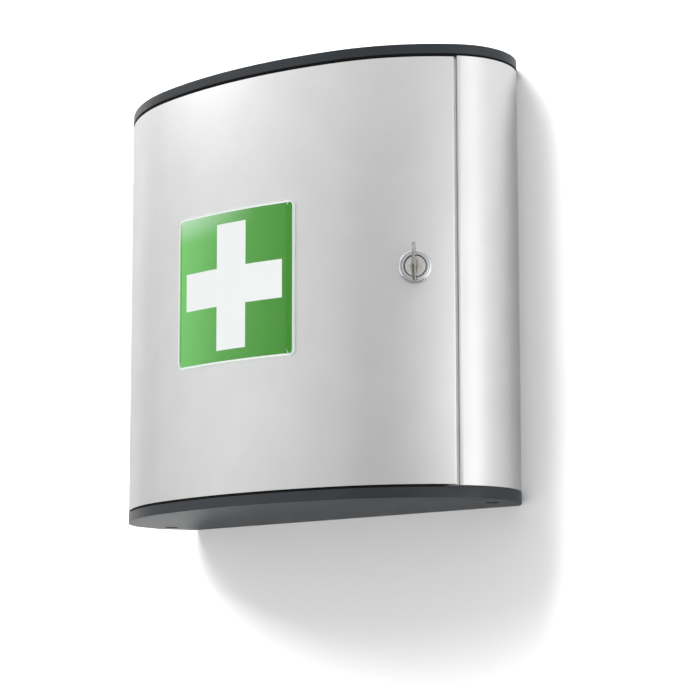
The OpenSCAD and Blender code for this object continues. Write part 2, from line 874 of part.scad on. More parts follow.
top_cap();
bottom_cap();
side_panel_right();
side_panel_left();
back_panel();
back_rivets();
cap_screws_top();
cap_screws_bottom();
hinge_pin_top();
hinge_pin_bottom();
strike_plate();
strike_rivets();
door_bumpers();
shelf_upper();
shelf_lower();
shelf_screws();
door_panel();
door_rail_top();
door_rail_bottom();
hinge_bush_top();
hinge_bush_bottom();
lock_housing();
lock_nut();
emblem_field();
emblem_cross();
emblem_tile();
lock_plug();
lock_cam();
cam_screw();
key();
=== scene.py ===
"""Wall-hung medicine cabinet: the dressed model, its studio and the camera.

Lengths are millimetres until they reach Blender, which works in metres; only the studio is in metres.
The origin is the middle of the four wall screws, on the wall. X runs along the wall, the front faces -Y
and +Z is up. A run is the distance along the cabinet's outer face from the middle of the front, positive
to the right, and an inset is a depth inwards from that face.
"""

import math

import bmesh
import bpy
from mathutils import Matrix, Vector


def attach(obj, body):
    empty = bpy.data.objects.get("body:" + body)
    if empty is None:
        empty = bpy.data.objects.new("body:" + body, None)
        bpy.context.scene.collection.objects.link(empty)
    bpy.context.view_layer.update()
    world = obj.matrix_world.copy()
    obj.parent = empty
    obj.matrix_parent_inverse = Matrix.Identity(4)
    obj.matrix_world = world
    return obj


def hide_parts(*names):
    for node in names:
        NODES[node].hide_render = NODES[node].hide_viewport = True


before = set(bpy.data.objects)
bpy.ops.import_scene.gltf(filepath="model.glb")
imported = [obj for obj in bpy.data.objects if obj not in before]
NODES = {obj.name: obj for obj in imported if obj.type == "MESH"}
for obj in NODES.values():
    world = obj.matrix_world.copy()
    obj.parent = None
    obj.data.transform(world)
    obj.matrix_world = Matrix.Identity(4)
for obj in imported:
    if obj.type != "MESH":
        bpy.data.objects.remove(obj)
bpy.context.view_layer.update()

MM = 0.001
UP = Vector((0, 0, 1))

# The outline: centre and radius of the front, shoulder and end curves, and where each one ends
CENTRES = [Vector((0, 197.023, 0)), Vector((41.2544, 31.5607, 0)), Vector((107, -33.5, 0))]
RADII = [307.023, 136.495, 44]
TURNS = [14, 45.3, 139.585]
RUNS = [75.020, 149.586, 221.991]
STEP = [0.5, 0.7, 1.5]          # degrees of each facet on those curves

SKIN = 1.5                      # door and side panels
PANEL_EDGE = 148.991            # run of the side panels' front edges
LOCK_SIDE = 147.491             # run of the door's edge at the lock
HINGE_SIDE = -146.991           # and of the one at the hinge
DOOR_LIP, DOOR_LIP_IN = 4, 2.7  # the thickened edge at the lock: its width and depth
DOOR_HALF = 132                 # half the height of the door
PANEL_HALF = 132.6              # and of the side panels
CAP_IN, CAP_OUT = 133, 140      # from the middle to the caps' inner and outer faces
REBATE_IN, REBATE_OUT, REBATE_RUN = 5.2, 3.7, 6.5       # the strip that the door closes on
BACK_HALF = 132.853             # back panel, from the middle to its side
FLANGE_X = 112.853              # inner edge of the side panels' back flanges
CAP_SCREW = (134, -27)          # X and Y of the screws through the caps
CHANNEL_R, CHANNEL_OUT = 1.75, 3.95                     # radii of the channels that they bite into
PIVOT = (-129.647, -65.793)     # X and Y of the hinge
LOCK_RUN, LOCK_Z = 122.991, 0.5
EMBLEM = (-5.4, -0.5)           # X and Z of its middle
RIVET_X, RIVET_ROWS = 122.853, (-102.6, 0, 102.6)
RIVET_HOLE = 1.62               # radius

FORWARD = Matrix.Rotation(math.pi / 2, 4, "X")          # puts a piece's Z axis along -Y
TO_TOP = Matrix.Scale(-1, 4, UP)                        # mirrors a piece of the bottom for the top


# ---------------------------------------------------------------------------------- the outline

def curve_of(run):
    """Number of the curve that a run lies on: 0 front, 1 shoulder, 2 end."""
    return 0 if abs(run) < RUNS[0] else 1 if abs(run) < RUNS[1] else 2


def turn(run):
    """Degrees from -Y to the outline's outward direction at a run."""
    k = curve_of(run)
    start = RUNS[k - 1] if k else 0
    before = TURNS[k - 1] if k else 0
    return math.copysign(before + math.degrees((abs(run) - start) / RADII[k]), run)


def centre_of(run):
    """Centre of the curve that a run lies on."""
    k = curve_of(run)
    c = CENTRES[k]
    return Vector((math.copysign(c.x, run) if k else 0, c.y, 0))


def outward(run):
    """Unit vector straight out of the outline at a run."""
    a = math.radians(turn(run))
    return Vector((math.sin(a), -math.cos(a), 0))


def spot(run, inset=0.0, z=0.0):
    """The point at a run and inset, in millimetres."""
    return centre_of(run) + outward(run) * (RADII[curve_of(run)] - inset) + UP * z


def run_at(y, inset):
    """The run on the end curve at which an inset line is at this distance from the wall."""
    a = math.degrees(math.acos(-(y - CENTRES[2].y) / (RADII[2] - inset)))
    return RUNS[1] + math.radians(a - TURNS[1]) * RADII[2]


# ------------------------------------------------------------------------- modelling, as by hand

def rest():
    """Object mode with nothing selected."""
    if bpy.context.mode != "OBJECT":
        bpy.ops.object.mode_set(mode="OBJECT")
    bpy.ops.object.select_all(action="DESELECT")


def take(obj):
    """Selects one object and makes it the active one."""
    rest()
    obj.select_set(True)
    bpy.context.view_layer.objects.active = obj
    return obj


def move(x, y, z=0.0):
    """A matrix that moves a piece by these millimetres."""
    return Matrix.Translation(Vector((x, y, z)) * MM)


def edit(obj):
    """Opens one object in edit mode."""
    take(obj)
    bpy.ops.object.mode_set(mode="EDIT")


def settle():
    """Takes the active object's place into its mesh, and leaves the object at the origin."""
    bpy.ops.object.transform_apply(location=True, rotation=True, scale=True)


def place(obj, matrix):
    """Moves a mesh to its place in the cabinet."""
    take(obj)
    obj.matrix_world = matrix
    settle()
    return obj


def choose(kind, test):
    """In edit mode: selects only the vertices, edges or faces that pass the test."""
    bpy.ops.mesh.select_mode(type=kind)
    bpy.ops.mesh.select_all(action="DESELECT")
    mesh = bmesh.from_edit_mesh(bpy.context.edit_object.data)
    for part in {"VERT": mesh.verts, "EDGE": mesh.edges, "FACE": mesh.faces}[kind]:
        if test(part):
            part.select_set(True)
    mesh.select_flush_mode()
    bmesh.update_edit_mesh(bpy.context.edit_object.data)


def choose_all():
    bpy.ops.mesh.select_all(action="SELECT")


def weld(distance):
    """In edit mode: merges vertices that are closer than this."""
    choose_all()
    bpy.ops.mesh.remove_doubles(threshold=distance * MM)


def face_outwards():
    """In edit mode: turns every face outwards."""
    choose_all()
    bpy.ops.mesh.normals_make_consistent(inside=False)


class Pen:
    """Draws a closed line of vertices with extrude and spin, then lifts it to a solid.
    side -1 draws the line's mirror image across the middle of the cabinet."""

    def __init__(self, name, start, side=1):
        self.side = side
        rest()
        bpy.ops.mesh.primitive_plane_add(size=MM, location=self.flip(start) * MM)
        self.obj = bpy.context.object
        self.obj.name = self.obj.data.name = name
        settle()
        bpy.ops.object.mode_set(mode="EDIT")
        bpy.ops.mesh.select_mode(type="VERT")
        choose_all()
        bpy.ops.mesh.merge(type="CENTER")
        self.at = Vector(start)

    def flip(self, point):
        """The point on the side that is drawn."""
        p = Vector(point)
        return Vector((p.x * self.side, p.y, p.z))

    def go(self, point):
        """A straight line to a point."""
        point = Vector(point)
        way = self.flip(point) - self.flip(self.at)
        bpy.ops.mesh.extrude_vertices_move(TRANSFORM_OT_translate={"value": way * MM})
        self.at = point
        return self

    def spin(self, centre, degrees, step):
        """An arc round a centre, turning from +X towards +Y where the angle is positive."""
        centre = Vector(centre)
        count = max(1, math.ceil(abs(degrees) / step))
        # The spin tool turns clockwise for a positive angle, seen from above
        bpy.ops.mesh.spin(steps=count, angle=-math.radians(degrees) * self.side,
                          center=self.flip(centre) * MM, axis=(0, 0, 1))
        self.at = centre + Matrix.Rotation(math.radians(degrees), 3, "Z") @ (self.at - centre)
        return self

    def follow(self, first, last, inset):
        """Goes to the first run at this inset and follows the outline to the last."""
        if (spot(first, inset, self.at.z) - self.at).length > 1e-4:
            self.go(spot(first, inset, self.at.z))
        ends = sorted([first, last])
        stops = [r for r in [-RUNS[1], -RUNS[0], RUNS[0], RUNS[1]] if ends[0] < r < ends[1]]
        stops = [ends[0], *stops, ends[1]]
        if last < first:
            stops.reverse()
        for a, b in zip(stops, stops[1:]):
            middle = (a + b) / 2
            degrees = math.degrees((b - a) / RADII[curve_of(middle)])
            self.spin(centre_of(middle), degrees, STEP[curve_of(middle)])
        return self

    def face(self):
        """Closes the line and fills it."""
        weld(0.005)
        choose_all()
        bpy.ops.mesh.edge_face_add()
        return self

    def lift(self, height):
        """A solid of that height."""
        self.face()
        bpy.ops.mesh.select_mode(type="FACE")
        choose_all()
        bpy.ops.mesh.extrude_region_move(TRANSFORM_OT_translate={"value": (0, 0, height * MM)})
        return self.tidy()

    def tidy(self):
        """The drawn object, with its faces outwards."""
        face_outwards()
        rest()
        return self.obj


def round_edges(obj, test, width, segments=3):
    """Bevels the edges that pass the test."""
    edit(obj)
    choose("EDGE", test)
    bpy.ops.mesh.bevel(offset=width * MM, offset_type="OFFSET", segments=segments, profile=0.5,
                       affect="EDGES", clamp_overlap=True)
    rest()
    return obj


def sharp(edge, least=40):
    """An edge between two faces that meet at more than this many degrees."""
    return len(edge.link_faces) == 2 and math.degrees(edge.calc_face_angle(0)) > least


def level(edge, z):
    """A level edge at that height."""
    return all(abs(v.co.z - z * MM) < 1e-6 for v in edge.verts)


def upright_at(edge, point):
    """A vertical edge over that point of the plan."""
    a, b = (v.co for v in edge.verts)
    p = Vector(point) * MM
    return abs(a.z - b.z) > 2e-3 and (a.xy - p.xy).length < 4e-5 and (b.xy - p.xy).length < 4e-5


def combine(obj, other, operation):
    """Joins, cuts or intersects obj with another solid, which is used up."""
    take(obj)
    tool = obj.modifiers.new("solid", "BOOLEAN")
    tool.operation = operation
    tool.object = other
    tool.solver = "EXACT"
    bpy.ops.object.modifier_apply(modifier=tool.name)
    bpy.data.objects.remove(other, do_unlink=True)


def cut(obj, other):
    combine(obj, other, "DIFFERENCE")


def fuse(obj, other):
    combine(obj, other, "UNION")


def keep_within(obj, other):
    combine(obj, other, "INTERSECT")


def join(objs):
    """Makes one object of several."""
    rest()
    for o in objs:
        o.select_set(True)
    bpy.context.view_layer.objects.active = objs[0]
    bpy.ops.object.join()
    return bpy.context.object


def started(name, matrix):
    """Names a new primitive, and moves it from where it was made to its place."""
    obj = bpy.context.object
    obj.name = name
    settle()
    return place(obj, matrix)


def rod(name, radius, low, high, matrix=Matrix.Identity(4), sides=64):
    """A plain round bar between two heights, used as a cutter or as the start of a turned piece."""
    rest()
    bpy.ops.mesh.primitive_cylinder_add(vertices=sides, radius=radius * MM, depth=(high - low) * MM,
                                        location=(0, 0, (low + high) / 2 * MM))
    return started(name, matrix)


def block(name, low, high, matrix=Matrix.Identity(4)):
    """A block between two corners."""
    rest()
    low, high = Vector(low), Vector(high)
    bpy.ops.mesh.primitive_cube_add(size=1, location=(low + high) / 2 * MM, scale=(high - low) * MM)
    return started(name, matrix)


def turned(name, profile, matrix=Matrix.Identity(4), sides=72):
    """A turned piece: a profile of (radius, height) points spun round Z."""
    pen = Pen(name, (profile[0][0], 0, profile[0][1]))
    for r, z in profile[1:]:
        pen.go((r, 0, z))
    if profile[0][0] > 0 or profile[-1][0] > 0:
        pen.go((profile[0][0], 0, profile[0][1]))
    weld(0.0005)
    choose_all()
    bpy.ops.mesh.spin(steps=sides, angle=math.tau, center=(0, 0, 0), axis=(0, 0, 1))
    weld(0.0005)
    return place(pen.tidy(), matrix)


def copied(node, name):
    """A merged copy of a CAD node's mesh, with its flat faces made whole again."""
    rest()
    obj = bpy.data.objects.new(name, NODES[node].data.copy())
    bpy.context.scene.collection.objects.link(obj)
    edit(obj)
    choose_all()
    bpy.ops.mesh.customdata_custom_splitnormals_clear()
    weld(0.001)
    choose_all()
    bpy.ops.mesh.dissolve_limited(angle_limit=math.radians(0.2))
    face_outwards()
    rest()
    return obj


def twin(obj, name, matrix):
    """A copy with its own mesh, moved by the matrix."""
    other = obj.copy()
    other.data = obj.data.copy()
    other.name = other.data.name = name
    bpy.context.scene.collection.objects.link(other)
    place(other, matrix)
    if matrix.determinant() < 0:
        edit(other)
        face_outwards()
        rest()
    return other


def finished(obj, body, material, slot, *nodes, smooth=30):
    """Shades a finished piece smooth up to an angle, gives it its material and hangs it on its body,
    in the place of the CAD nodes named."""
    take(obj)
    bpy.ops.object.shade_smooth_by_angle(angle=math.radians(smooth))
    obj.data.materials.clear()
    obj.data.materials.append(material)
    rest()
    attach(obj, body)
    if nodes:
        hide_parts(*nodes)
    return obj


def at_outline(run, inset=0.0, z=0.0):
    """Where a piece stands on the outline: its Z points straight out, its Y up."""
    out = outward(run)
    turned_axes = Matrix((UP.cross(out), UP, out)).transposed()
    return Matrix.Translation(spot(run, inset, z) * MM) @ turned_axes.to_4x4()


# ------------------------------------------------------------------------------------- materials

def linear(hex_colour):
    """An sRGB hex colour as the linear colour that Blender reads."""
    parts = [int(hex_colour[i:i + 2], 16) / 255 for i in (1, 3, 5)]
    return [c / 12.92 if c <= 0.04045 else ((c + 0.055) / 1.055) ** 2.4 for c in parts] + [1.0]


def add(tree, kind, links=None, values=None, **settings):
    """Adds a node with its settings, the values of its sockets and the links into it."""
    made = tree.nodes.new(kind)
    for name, value in settings.items():
        setattr(made, name, value)
    for name, value in (values or {}).items():
        made.inputs[name].default_value = value
    for name, (source, socket) in (links or {}).items():
        tree.links.new(source.outputs[socket], made.inputs[name])
    return made


def new_material(name):
    """A material with only its output left, and the tree that holds it."""
    material = bpy.data.materials.new(name)
    material.use_nodes = True
    material.node_tree.nodes.clear()
    return material, material.node_tree


def per_mm(size):
    """Noise scale whose grains are about this many millimetres across."""
    return 1 / (size * MM)


def ramp(tree, source, socket, stops):
    """A colour ramp through (position, colour) stops, whose colours are hex or a plain level."""
    made = add(tree, "ShaderNodeValToRGB", {"Fac": (source, socket)})
    marks = made.color_ramp.elements
    while len(marks) < len(stops):
        marks.new(0.5)
    for mark, (position, colour) in zip(marks, stops):
        mark.position = position
        mark.color = linear(colour) if isinstance(colour, str) else [colour] * 3 + [1]
    return made


def plain_surface(name, colours, rough, grain, bump, metallic=0.0, ior=None, cloud=25.0, gap=None,
                  shader=None):
    """A surface whose colour drifts between two close tones over clouds of that width, whose roughness
    drifts with its fine grain, and whose grain stands up by the bump distance in micrometres. In gaps
    narrower than the gap's width its colour is darkened towards near black: painted shade."""
    material, tree = new_material(name)
    place_on = add(tree, "ShaderNodeTexCoord")
    drift = add(tree, "ShaderNodeTexNoise", {"Vector": (place_on, "Object")},
                {"Scale": per_mm(cloud), "Detail": 3.0, "Roughness": 0.5})
    fine = add(tree, "ShaderNodeTexNoise", {"Vector": (place_on, "Object")},
               {"Scale": per_mm(grain), "Detail": 2.0, "Roughness": 0.6})
    colour = ramp(tree, drift, "Fac", [(0.35, colours[0]), (0.65, colours[1])])
    shine = ramp(tree, fine, "Fac", [(0.3, rough[0]), (0.7, rough[1])])
    relief = add(tree, "ShaderNodeBump", {"Height": (fine, "Fac")},
                 {"Strength": 1.0, "Distance": bump * MM / 1000})
    # Painted shade: the colour is darkened towards near black where an occlusion test finds faces close
    # by, in tight gaps and recesses
    if gap:
        open_space = add(tree, "ShaderNodeAmbientOcclusion", values={"Distance": gap * MM}, samples=8)
        painted_gap_shade = ramp(tree, open_space, "AO", [(0.2, "#2A2926"), (0.65, "#FFFFFF")])
        colour = add(tree, "ShaderNodeMix", {6: (colour, "Color"), 7: (painted_gap_shade, "Color")}, {"Factor": 1.0},
                     data_type="RGBA", blend_type="MULTIPLY")
    values = {"Metallic": metallic, **(shader or {})}
    if ior:
        values["IOR"] = ior
    surface = add(tree, "ShaderNodeBsdfPrincipled",
                  {"Base Color": (colour, 2 if gap else "Color"), "Roughness": (shine, "Color"),
                   "Normal": (relief, "Normal")}, values)
    add(tree, "ShaderNodeOutputMaterial", {"Surface": (surface, "BSDF")})
    return material


# Anodised aluminium sheet: etched before anodising, so it is satin with a fine even grain
aluminium = plain_surface("anodised_aluminium", ("#E6E6E6", "#E9E9E9"), (0.4, 0.46), 0.7, 1.2,
                          metallic=1.0)
# Moulded ABS, through-coloured blue grey, from a spark-eroded mould: a fine matt grain
# Its gap darkens the colour in recesses narrower than 4 mm, such as the steps in its edges: painted shade
cap_plastic = plain_surface("moulded_ABS_grey", ("#252A2F", "#292E33"), (0.32, 0.38), 0.6, 4.0, ior=1.54,
                            gap=4.0, shader={"Specular IOR Level": 0.38})
# Extruded PVC rails: a plain grey, duller than the caps
rail_plastic = plain_surface("extruded_PVC_dark", ("#2E3134", "#323538"), (0.4, 0.5), 0.8, 4.0, ior=1.53)
# White baked enamel on steel sheet: glossy, with a faint orange peel
white_enamel = plain_surface("white_baked_enamel", ("#EDEDEA", "#F0F0EE"), (0.26, 0.32), 2.5, 4.0,
                             ior=1.5, cloud=60.0)
# Zinc-plated steel: a bluish metal with cloudy passivation
zinc = plain_surface("zinc_plated_steel", ("#B9BDC0", "#C6C8C6"), (0.25, 0.38), 0.9, 2.0, metallic=1.0,
                     cloud=4.0)
# Bright chrome on die-cast zinc: a mirror with the softness of a polished casting
# Its gap darkens the colour in recesses narrower than 2.4 mm, round the plug and under the rim: painted
# shade
chrome = plain_surface("chrome_plated_zinc", ("#DDE0E4", "#E4E6E8"), (0.04, 0.07), 0.9, 0.5, metallic=1.0,
                       gap=2.4)
# The plug's face: the same plating over a turned face, duller and warmer
# Its gap darkens the colour in recesses narrower than 1.8 mm: painted shade
face_plate = plain_surface("chrome_over_turned_brass", ("#E6E5E1", "#F4F3F0"), (0.2, 0.36), 0.5, 1.5,
                           metallic=1.0, cloud=1.5, gap=1.8)
# Nickel-plated brass key: warm grey, tumbled to an even shine
# Its gap darkens the colour in recesses narrower than 1 mm: painted shade
nickel = plain_surface("nickel_plated_brass", ("#A7A5A0", "#B1AFAA"), (0.2, 0.26), 0.5, 0.5, metallic=1.0,
                       cloud=6.0, gap=1.0)
# Acetal bushes: natural white, slightly waxy
acetal = plain_surface("acetal_natural", ("#E9E6DC", "#EFEDE5"), (0.35, 0.45), 0.8, 3.0, ior=1.48)
# Moulded rubber pads: matt black grey
rubber = plain_surface("moulded_rubber", ("#2B2C2D", "#333435"), (0.65, 0.8), 0.5, 6.0, ior=1.52)
# Near-black matt strips in the caps' steps: painted shade, a dark sheet that stands in for the shade deep
# in the steps
shade_strip_black = plain_surface("black_shade_strip", ("#0B0B0C", "#0F0F10"), (0.75, 0.85), 0.6, 3.0, ior=1.52,
                     shader={"Specular IOR Level": 0.2})
# Printed vinyl films, bonded under the clear tile: there is no air at their faces to shine at
BONDED = {"Specular IOR Level": 0.05}
white_film = plain_surface("white_vinyl_film", ("#FAFAF9", "#FCFCFB"), (0.4, 0.46), 0.8, 1.0,
                           shader=BONDED)


def make_green():
    """Vinyl film printed green, its colour drawn lighter at the left and deepening towards the lower
    right, with a pale painted highlight along its upper edge that fades to the right."""
    material, tree = new_material("green_vinyl_film")
    place_on = add(tree, "ShaderNodeTexCoord")
    axes = add(tree, "ShaderNodeSeparateXYZ", {"Vector": (place_on, "Object")})
    slanted = add(tree, "ShaderNodeMath", {0: (axes, "Z"), 2: (axes, "X")}, {1: -0.15},
                  operation="MULTIPLY_ADD")
    left, right = ((EMBLEM[0] + side * 54) * MM for side in (-1, 1))
    across = add(tree, "ShaderNodeMapRange", {"Value": (slanted, 0)},
                 {"From Min": left, "From Max": right})
    green = ramp(tree, across, "Result", [(0.0, "#7CD36F"), (0.5, "#56A843"), (1.0, "#3A8C20")])
    # Painted highlight: a pale sheen mixed into the green near the top edge, fading out towards the right
    upper = add(tree, "ShaderNodeMapRange", {"Value": (axes, "Z")},
                {"From Min": (EMBLEM[1] + 30) * MM, "From Max": (EMBLEM[1] + 48) * MM},
                interpolation_type="SMOOTHSTEP")
    fading = add(tree, "ShaderNodeMath", {1: (across, "Result")}, {0: 0.62}, operation="SUBTRACT")
    painted_sheen = add(tree, "ShaderNodeMath", {0: (upper, "Result"), 1: (fading, 0)}, operation="MULTIPLY",
                use_clamp=True)
    print_and_sheen = add(tree, "ShaderNodeMix", {"Factor": (painted_sheen, 0), 6: (green, "Color")},
                  {7: linear("#D8F4DA")}, data_type="RGBA")
    fine = add(tree, "ShaderNodeTexNoise", {"Vector": (place_on, "Object")}, {"Scale": per_mm(0.8)})
    shine = ramp(tree, fine, "Fac", [(0.3, 0.4), (0.7, 0.46)])
    surface = add(tree, "ShaderNodeBsdfPrincipled",
                  {"Base Color": (print_and_sheen, 2), "Roughness": (shine, "Color")}, BONDED)
    add(tree, "ShaderNodeOutputMaterial", {"Surface": (surface, "BSDF")})
    return material


green_film = make_green()


def make_acrylic():
    """Cast acrylic sheet with a clear face and sanded edges. Its back is bonded to the films, so that it
    neither bends nor mirrors light there, and lamps shine through the sheet on to them."""
    material, tree = new_material("cast_acrylic_clear")
    place_on = add(tree, "ShaderNodeTexCoord")
    fine = add(tree, "ShaderNodeTexNoise", {"Vector": (place_on, "Object")}, {"Scale": per_mm(6)})
    relief = add(tree, "ShaderNodeBump", {"Height": (fine, "Fac")},
                 {"Strength": 1.0, "Distance": 0.003 * MM})
    surface = add(tree, "ShaderNodeBsdfPrincipled", {"Normal": (relief, "Normal")},
                  {"Base Color": linear("#FDFEFE"), "Roughness": 0.03, "IOR": 1.49,
                   "Transmission Weight": 1.0})
    # The sanding scatters light back and through. It is on the faces turned well away from the front
    scattered = {"Color": linear("#E8ECEA")}
    sanded = add(tree, "ShaderNodeMixShader",
                 {1: (add(tree, "ShaderNodeBsdfDiffuse", values=scattered), 0),
                  2: (add(tree, "ShaderNodeBsdfTranslucent", values=scattered), 0)}, {"Fac": 0.5})
    axes = add(tree, "ShaderNodeSeparateXYZ", {"Vector": (place_on, "Normal")})
    frontal = add(tree, "ShaderNodeMath", {0: (axes, "Y")}, operation="ABSOLUTE")
    edge = add(tree, "ShaderNodeMapRange", {"Value": (frontal, 0)},
               {"From Min": 0.8, "From Max": 0.5, "To Min": 0.0, "To Max": 0.75})
    surface = add(tree, "ShaderNodeMixShader", {"Fac": (edge, "Result"), 1: (surface, 0), 2: (sanded, 0)})
    through = add(tree, "ShaderNodeBsdfTransparent", values={"Color": linear("#FDFEFE")})
    ray = add(tree, "ShaderNodeLightPath")
    soft_ray = add(tree, "ShaderNodeMath", {0: (ray, "Is Shadow Ray"), 1: (ray, "Is Diffuse Ray")},
                   operation="MAXIMUM")
    # The bonded back is the face whose normal points to +Y. A face met from inside comes with its
    # normal turned round, so that is undone first
    met = add(tree, "ShaderNodeNewGeometry")
    turned_back = add(tree, "ShaderNodeMath", {0: (met, "Backfacing")}, {1: -2.0, 2: 1.0},
                      operation="MULTIPLY_ADD")
    true_y = add(tree, "ShaderNodeMath", {0: (axes, "Y"), 1: (turned_back, 0)}, operation="MULTIPLY")
    bonded = add(tree, "ShaderNodeMath", {0: (true_y, 0)}, {1: 0.6}, operation="GREATER_THAN")
    clear = add(tree, "ShaderNodeMath", {0: (soft_ray, 0), 1: (bonded, 0)}, operation="MAXIMUM")
    mix = add(tree, "ShaderNodeMixShader", {"Fac": (clear, 0), 1: (surface, 0), 2: (through, 0)})
    add(tree, "ShaderNodeOutputMaterial", {"Surface": (mix, "Shader")})
    return material


acrylic = make_acrylic()


# ---------------------------------------------------------------------------------- the aluminium

def make_door():
    """The curved sheet, with its thickened edge and the lock's bore."""
    pen = Pen("door_sheet", spot(HINGE_SIDE, 0, -DOOR_HALF))
    pen.follow(HINGE_SIDE, LOCK_SIDE, 0)
    pen.follow(LOCK_SIDE, LOCK_SIDE - DOOR_LIP, DOOR_LIP_IN)
    pen.follow(LOCK_SIDE - DOOR_LIP, HINGE_SIDE, SKIN)
    obj = pen.lift(2 * DOOR_HALF)
    round_edges(obj, lambda e: upright_at(e, spot(LOCK_SIDE, 0)), 0.9, 4)
    round_edges(obj, lambda e: upright_at(e, spot(HINGE_SIDE, 0)), 0.6, 3)
    round_edges(obj, lambda e: sharp(e) and (level(e, DOOR_HALF) or level(e, -DOOR_HALF)), 0.25, 2)
    cut(obj, rod("bore", 8.15, -10, 10, at_outline(LOCK_RUN, 0, LOCK_Z)))
    return finished(obj, "door", aluminium, "anodised_aluminium", "door_panel")


def make_side(side, name):
    """One side panel: an extrusion with a back flange and a screw channel, and on the right the
    rebate that the door closes on."""
    z = -PANEL_HALF
    x0, y0 = CAP_SCREW
    slot_out = 180 - math.degrees(math.asin(1 / CHANNEL_OUT))
    slot_in = 180 - math.degrees(math.asin(1 / CHANNEL_R))
    web = math.degrees(math.asin(SKIN / 2 / CHANNEL_OUT))

    def round_channel(radius, degrees):
        a = math.radians(degrees)
        return Vector((x0 + radius * math.cos(a), y0 + radius * math.sin(a), z))

    flange_top = run_at(-SKIN, SKIN)
    flange_low = run_at(-2 * SKIN, SKIN)
    pen = Pen(name, spot(PANEL_EDGE, 0, z), side)
    pen.follow(PANEL_EDGE, RUNS[2], 0)
    pen.go(spot(RUNS[2], SKIN, z)).go(spot(flange_top, SKIN, z))
    pen.go((FLANGE_X, -SKIN, z)).go((FLANGE_X, -2 * SKIN, z))
    pen.follow(flange_low, run_at(y0 + SKIN / 2, SKIN), SKIN)
    pen.go(round_channel(CHANNEL_OUT, web)).spin((x0, y0, z), slot_out - web, 8)
    pen.go(round_channel(CHANNEL_R, slot_in)).spin((x0, y0, z), -2 * slot_in, 12)
    pen.go(round_channel(CHANNEL_OUT, -slot_out)).spin((x0, y0, z), slot_out - web, 8)
    front = PANEL_EDGE + SKIN if side > 0 else PANEL_EDGE
    pen.follow(run_at(y0 - SKIN / 2, SKIN), front, SKIN)
    if side > 0:
        pen.follow(front, PANEL_EDGE - REBATE_RUN, REBATE_IN)
        pen.follow(PANEL_EDGE - REBATE_RUN, PANEL_EDGE, REBATE_OUT)
    obj = pen.lift(2 * PANEL_HALF)
    edge = spot(PANEL_EDGE, 0)
    edge.x *= side
    round_edges(obj, lambda e: upright_at(e, edge), 0.9 if side > 0 else 0.5, 4)
    round_edges(obj, lambda e: sharp(e) and (level(e, PANEL_HALF) or level(e, -PANEL_HALF)), 0.15, 1)
    for row in RIVET_ROWS:
        drill = rod("bore", RIVET_HOLE, -10, 10, move(side * RIVET_X, -2, row) @ FORWARD, 24)
        cut(obj, drill)
    return finished(obj, "cabinet", aluminium, "anodised_aluminium",
                    "side_panel_right" if side > 0 else "side_panel_left")


# -------------------------------------------------------------------------------------- the caps

def band(name, first, last, inset, thickness, low, high):
    """A piece of wall that follows the outline."""
    pen = Pen(name, spot(first, inset, low))
    pen.follow(first, last, inset).follow(last, first, inset + thickness)
    return pen.lift(high - low)


# The steps in the caps' edges show as thin black lines, partly from real shade and partly from the
# near-black strips set in them, which are painted shade: the steps' heights and depth, and the strips'
# inset and thickness
STEP_TOP, STEP_BOTTOM, STEP_DEEP = 1.0, 0.6, 1.2
STRIP_IN, STRIP_THICK = 0.5, 0.48


def make_shade_strips():
    """Thin near-black strips at the back of the caps' steps: painted shade that darkens the steps' lines.
    """
    top = band("shade_strip_top", -RUNS[2] + 2, RUNS[2] - 2, STRIP_IN, STRIP_THICK, PANEL_HALF + 0.03,
               CAP_IN + STEP_TOP - 0.02)
    finished(top, "cabinet", shade_strip_black, "rubber_pad")
    low = band("shade_strip_bottom", HINGE_SIDE + 0.5, LOCK_SIDE - 8.5, STRIP_IN, STRIP_THICK,
               -CAP_IN - STEP_BOTTOM + 0.02, -CAP_IN + 0.25)
    finished(low, "cabinet", shade_strip_black, "rubber_pad")


def off_the_wall(edge):
    """An edge that isn't along the wall."""
    return max(v.co.y for v in edge.verts) < -1e-4


